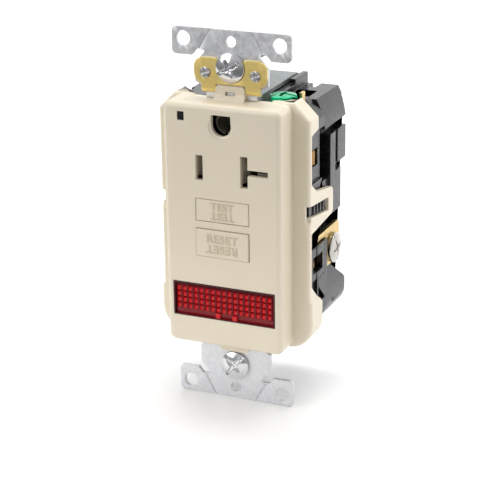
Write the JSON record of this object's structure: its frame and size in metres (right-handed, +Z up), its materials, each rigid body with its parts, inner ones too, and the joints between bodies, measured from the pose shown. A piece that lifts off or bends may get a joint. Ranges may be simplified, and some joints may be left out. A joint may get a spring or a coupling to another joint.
{
  "type": "gfci outlet",
  "caption": "Ground-fault receptacle with a T-slot face, test and reset buttons, a red pilot light and a wrap-round steel strap.",
  "frame": {"origin": "midway between the two box screws, in the plane of the strap's back face", "axes": "+X to the right seen from the front, +Y back into the wall box, +Z up, towards the grounding-pin end"},
  "size_m": [0.0442, 0.0383, 0.1032],
  "materials": {
    "ivory_plastic": "smooth moulded ivory plastic",
    "button_plastic": "smooth moulded ivory plastic",
    "black_plastic": "semi-gloss black moulded plastic",
    "dark_plastic": "smoked plastic",
    "red_lens": "translucent red lens",
    "zinc_steel": "galvanised sheet steel",
    "plated_steel": "bright zinc plating",
    "brass": "stamped brass",
    "green_steel": "green dyed zinc plating",
    "spring_steel": "drawn wire",
    "fibre": "vulcanised fibre",
    "circuit_laminate": "green solder mask",
    "inner_plastic": "natural moulded nylon",
    "copper": "enamelled copper winding",
    "chip_black": "moulded epoxy",
    "varistor_blue": "dipped epoxy",
    "resistor_tan": "lacquered",
    "lamp_clear": "clear red lamp"
  },
  "bodies": {
    "root": {"front_cover": "ivory_plastic", "middle_frame": "black_plastic", "rear_cover": "black_plastic", "mounting_strap": "zinc_steel", "ground_clip": "brass", "clip_rivets": "plated_steel", "reset_spring": "spring_steel", "pilot_lens": "red_lens", "pilot_board": "circuit_laminate", "pilot_lamps": "lamp_clear", "indicator_window": "dark_plastic", "indicator_led": "lamp_clear", "hot_contact": "brass", "neutral_contact": "brass", "ground_contact": "brass", "neutral_load_bus": "brass", "hot_load_bus": "brass", "neutral_terminal": "brass", "hot_terminal": "brass", "case_screws": "plated_steel", "test_pin": "inner_plastic", "carrier_springs": "spring_steel", "solenoid_frame": "zinc_steel", "solenoid_bobbin": "inner_plastic", "solenoid_coil": "copper", "plunger_spring": "spring_steel", "circuit_board": "circuit_laminate", "coil_housing": "inner_plastic", "sense_coil": "copper", "neutral_coil": "copper", "neutral_busbar": "brass", "hot_busbar": "brass", "control_chip": "chip_black", "varistor": "varistor_blue", "capacitors": "chip_black", "resistors": "resistor_tan"},
    "top_retainer": {"retainer_top": "fibre"},
    "top_screw": {"box_screw_top": "plated_steel"},
    "bottom_retainer": {"retainer_bottom": "fibre"},
    "bottom_screw": {"box_screw_bottom": "plated_steel"},
    "ground_washer": {"ground_clamp": "brass"},
    "green_screw": {"ground_screw": "green_steel"},
    "neutral_screw": {"neutral_terminal_screw": "plated_steel"},
    "neutral_clamp": {"neutral_clamp_plate": "plated_steel"},
    "hot_screw": {"hot_terminal_screw": "plated_steel"},
    "hot_clamp": {"hot_clamp_plate": "plated_steel"},
    "test": {"test_button": "button_plastic"},
    "test_leaf": {"test_blade": "brass"},
    "reset": {"reset_button": "button_plastic", "reset_pin": "spring_steel"},
    "carrier": {"contact_carrier": "inner_plastic", "moving_contacts": "brass"},
    "latch": {"latch_plate": "spring_steel"},
    "plunger": {"solenoid_plunger": "spring_steel"}
  },
  "joints": [
    {"name": "top_screw_slide", "type": "slide", "parent": "root", "child": "top_retainer", "axis": [0, 1, 0], "range_m": [-0.0055, 0]},
    {"name": "top_screw_turn", "type": "hinge", "parent": "top_retainer", "child": "top_screw", "pos_m": [0, 0, 0.04167], "axis": [0, 1, 0], "continuous": true},
    {"name": "bottom_screw_slide", "type": "slide", "parent": "root", "child": "bottom_retainer", "axis": [0, 1, 0], "range_m": [-0.0055, 0]},
    {"name": "bottom_screw_turn", "type": "hinge", "parent": "bottom_retainer", "child": "bottom_screw", "pos_m": [0, 0, -0.04167], "axis": [0, 1, 0], "continuous": true},
    {"name": "ground_clamp_lift", "type": "slide", "parent": "root", "child": "ground_washer", "axis": [0, 0, 1], "range_m": [0, 0.0029]},
    {"name": "ground_screw_turn", "type": "hinge", "parent": "ground_washer", "child": "green_screw", "pos_m": [0.0121, 0.0047, 0.0321], "axis": [0, 0, 1], "range_deg": [0, 1300]},
    {"name": "neutral_screw_turn", "type": "hinge", "parent": "root", "child": "neutral_screw", "pos_m": [0.0197, 0.0203, -0.012], "axis": [1, 0, 0], "range_deg": [0, 810]},
    {"name": "neutral_clamp_slide", "type": "slide", "parent": "root", "child": "neutral_clamp", "axis": [-1, 0, 0], "range_m": [0, 0.0018]},
    {"name": "hot_screw_turn", "type": "hinge", "parent": "root", "child": "hot_screw", "pos_m": [-0.0197, 0.0203, -0.012], "axis": [-1, 0, 0], "range_deg": [0, 810]},
    {"name": "hot_clamp_slide", "type": "slide", "parent": "root", "child": "hot_clamp", "axis": [1, 0, 0], "range_m": [0, 0.0018]},
    {"name": "test_press", "type": "slide", "parent": "root", "child": "test", "axis": [0, 1, 0], "range_m": [0, 0.0015], "stiffness_N_per_m": 150},
    {"name": "test_blade_bend", "type": "hinge", "parent": "root", "child": "test_leaf", "pos_m": [-0.0095, -0.0001, 0.0046], "axis": [0, 0, 1], "range_deg": [0, 9.5]},
    {"name": "reset_press", "type": "slide", "parent": "root", "child": "reset", "axis": [0, 1, 0], "range_m": [0, 0.002], "stiffness_N_per_m": 200, "deforming": ["reset_spring"]},
    {"name": "contacts_open", "type": "slide", "parent": "root", "child": "carrier", "axis": [0, 1, 0], "range_m": [0, 0.0015], "deforming": ["carrier_springs"]},
    {"name": "trip_plunger_slide", "type": "slide", "parent": "root", "child": "plunger", "axis": [0, 0, 1], "range_m": [0, 0.0015], "stiffness_N_per_m": 100, "deforming": ["plunger_spring"]},
    {"name": "latch_slide", "type": "slide", "parent": "carrier", "child": "latch", "axis": [0, 0, 1], "range_m": [0, 0.0015]}
  ],
  "couplings": [
    {"joint": "ground_clamp_lift", "follows": "ground_screw_turn", "m_per_rad": 0.00012633},
    {"joint": "neutral_clamp_slide", "follows": "neutral_screw_turn", "m_per_rad": 0.00012633},
    {"joint": "hot_clamp_slide", "follows": "hot_screw_turn", "m_per_rad": 0.00012633},
    {"joint": "test_blade_bend", "follows": "test_press", "rad_per_m": 105},
    {"joint": "latch_slide", "follows": "trip_plunger_slide", "ratio": 1}
  ]
}
